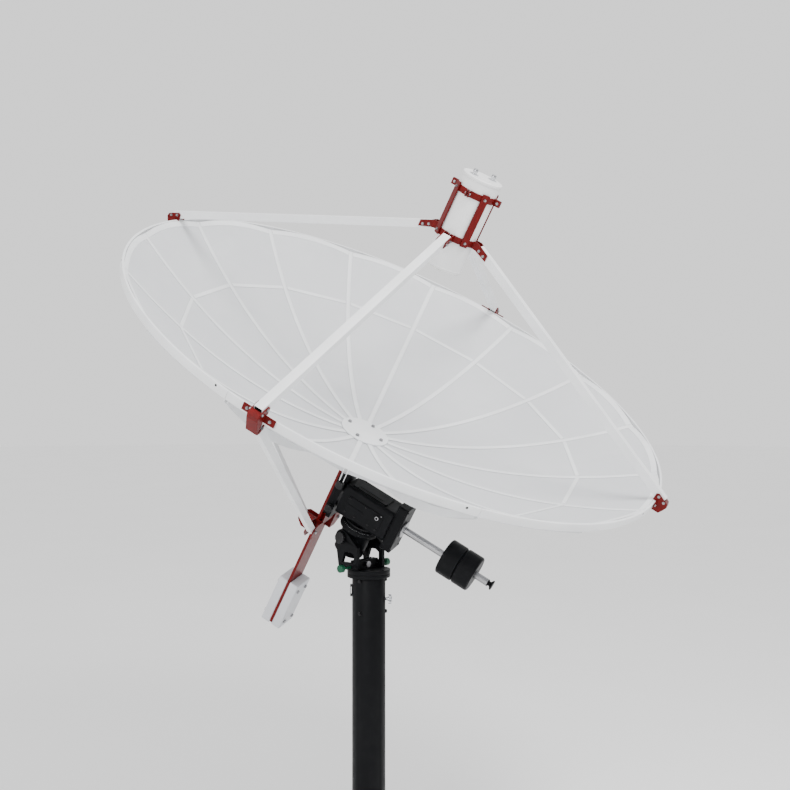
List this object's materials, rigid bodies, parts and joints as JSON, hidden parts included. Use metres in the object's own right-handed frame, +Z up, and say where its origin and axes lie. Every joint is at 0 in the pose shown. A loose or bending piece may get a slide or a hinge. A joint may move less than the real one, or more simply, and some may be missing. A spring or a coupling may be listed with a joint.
{
  "type": "radio telescope dish",
  "caption": "Parabolic mesh dish with a focal feed on struts, carried by a counterweighted equatorial mount on a floor pier; it turns, tilts and focuses.",
  "frame": {"origin": "centre of the pier's base plate on the floor", "axes": "+Z up; +Y is the horizontal direction that the polar axis leans towards; +X completes the right-handed set"},
  "size_m": [2.2996, 1.9556, 2.8258],
  "materials": {
    "black_paint": "satin powder coat",
    "zinc_steel": "zinc plated",
    "chrome": "polished",
    "green_knob": "satin",
    "black_knob": "satin",
    "bare_steel": "turned",
    "dark_steel": "blackened steel",
    "bronze": "machined",
    "red_plate": "red anodised",
    "white_mesh": "white painted fine mesh",
    "white_paint": "white powder coat",
    "feed_white": "white paint",
    "window_plastic": "matte",
    "grey_block": "light grey paint"
  },
  "bodies": {
    "pier": {"base_plate": "black_paint", "pier_column": "black_paint", "pier_flange": "black_paint", "pier_fittings": "zinc_steel"},
    "hand_knob": {"pier_hand_knob": "chrome"},
    "azimuth_base": {"azimuth_disc": "black_paint", "side_cheeks": "black_paint", "altitude_block": "black_paint"},
    "altitude_adjuster": {"altitude_screw": "zinc_steel"},
    "azimuth_knob_1": {"azimuth_knob_east": "green_knob"},
    "azimuth_knob_2": {"azimuth_knob_west": "green_knob"},
    "altitude_knob_1": {"altitude_knob_east": "black_knob"},
    "altitude_knob_2": {"altitude_knob_west": "black_knob"},
    "polar_unit": {"polar_housing": "black_paint", "polar_lid": "black_paint"},
    "head": {"polar_axle": "dark_steel", "polar_worm_wheel": "bronze", "declination_housing": "black_paint", "motor_box": "black_paint", "weight_rod": "bare_steel", "rod_lock_ring": "bare_steel", "rod_end_stop": "black_paint"},
    "weight_inner": {"counterweight_inner": "black_paint"},
    "weight_outer": {"counterweight_outer": "black_paint"},
    "saddle": {"declination_axle": "dark_steel", "declination_worm_wheel": "bronze", "saddle_plate": "black_paint", "saddle_jaws": "black_paint"},
    "saddle_knob_1": {"saddle_knob_front": "black_knob"},
    "saddle_knob_2": {"saddle_knob_rear": "black_knob"},
    "feed": {"feed_can": "feed_white", "feed_window": "window_plastic", "feed_cap": "feed_white", "feed_connectors": "chrome"},
    "dish": {"cage_bars": "red_plate", "dish_bolts": "zinc_steel", "dovetail_bar": "red_plate", "feed_strut_far": "white_paint", "feed_strut_near": "white_paint", "feed_strut_right": "white_paint", "feed_strut_side": "white_paint", "hub_angles": "red_plate", "hub_drum": "white_paint", "hub_plate": "white_paint", "inner_petals": "white_mesh", "lower_feed_ring": "red_plate", "outer_petals": "white_mesh", "rear_brace_far": "white_paint", "rear_brace_near": "white_paint", "rear_brace_side": "white_paint", "rib_caps": "white_paint", "ribs": "white_paint", "rim_brackets": "red_plate", "rim_segments": "white_paint", "ring_bars": "white_paint", "spine_clevises": "red_plate", "spine_plate": "red_plate", "strut_ears": "red_plate", "tail_weights": "grey_block", "upper_feed_ring": "red_plate"}
  },
  "joints": [
    {"name": "azimuth_turn", "type": "hinge", "parent": "pier", "child": "azimuth_base", "pos_m": [0, 0, 1.2147], "axis": [0, 0, 1], "range_deg": [-8, 8]},
    {"name": "altitude_tilt", "type": "hinge", "parent": "azimuth_base", "child": "polar_unit", "pos_m": [0, -0.08059, 1.36349], "axis": [1, 0, 0], "range_deg": [-10, 5]},
    {"name": "polar_turn", "type": "hinge", "parent": "polar_unit", "child": "head", "pos_m": [0, 0, 1.49], "axis": [0, 0.5373, 0.8434], "range_deg": [-102.1, 57.9]},
    {"name": "declination_turn", "type": "hinge", "parent": "head", "child": "saddle", "pos_m": [0, 0, 1.49], "axis": [0.3762, -0.7814, 0.4978], "range_deg": [-90, 90]},
    {"name": "dish_balance_slide", "type": "slide", "parent": "saddle", "child": "dish", "axis": [0, 0.5373, 0.8434], "range_m": [-0.03, 0.03]},
    {"name": "feed_focus_slide", "type": "slide", "parent": "dish", "child": "feed", "axis": [0, 0.5373, 0.8434], "range_m": [-0.025, 0.025]},
    {"name": "inner_weight_slide", "type": "slide", "parent": "head", "child": "weight_inner", "axis": [-0.3762, 0.7814, -0.4978], "range_m": [-0.19, 0]},
    {"name": "outer_weight_slide", "type": "slide", "parent": "head", "child": "weight_outer", "axis": [-0.3762, 0.7814, -0.4978], "range_m": [0, 0.055]},
    {"name": "hand_knob_turn", "type": "hinge", "parent": "pier", "child": "hand_knob", "pos_m": [0, 0, 1.105], "axis": [-0.6743, 0.7385, 0], "continuous": true},
    {"name": "altitude_screw_turn", "type": "hinge", "parent": "azimuth_base", "child": "altitude_adjuster", "pos_m": [0, 0, 1.251], "axis": [0, 1, 0], "continuous": true},
    {"name": "azimuth_knob_1_turn", "type": "hinge", "parent": "azimuth_base", "child": "azimuth_knob_1", "pos_m": [0, -0.027, 1.244], "axis": [1, 0, 0], "continuous": true},
    {"name": "azimuth_knob_2_turn", "type": "hinge", "parent": "azimuth_base", "child": "azimuth_knob_2", "pos_m": [0, -0.027, 1.244], "axis": [1, 0, 0], "continuous": true},
    {"name": "altitude_knob_1_turn", "type": "hinge", "parent": "azimuth_base", "child": "altitude_knob_1", "pos_m": [0, -0.08059, 1.36349], "axis": [1, 0, 0], "continuous": true},
    {"name": "altitude_knob_2_turn", "type": "hinge", "parent": "azimuth_base", "child": "altitude_knob_2", "pos_m": [0, -0.08059, 1.36349], "axis": [1, 0, 0], "continuous": true},
    {"name": "saddle_knob_1_turn", "type": "hinge", "parent": "saddle", "child": "saddle_knob_1", "pos_m": [0.04955, -0.07068, 1.60617], "axis": [0.9265, 0.3173, -0.2021], "continuous": true},
    {"name": "saddle_knob_2_turn", "type": "hinge", "parent": "saddle", "child": "saddle_knob_2", "pos_m": [0.04955, -0.13515, 1.50496], "axis": [0.9265, 0.3173, -0.2021], "continuous": true}
  ]
}
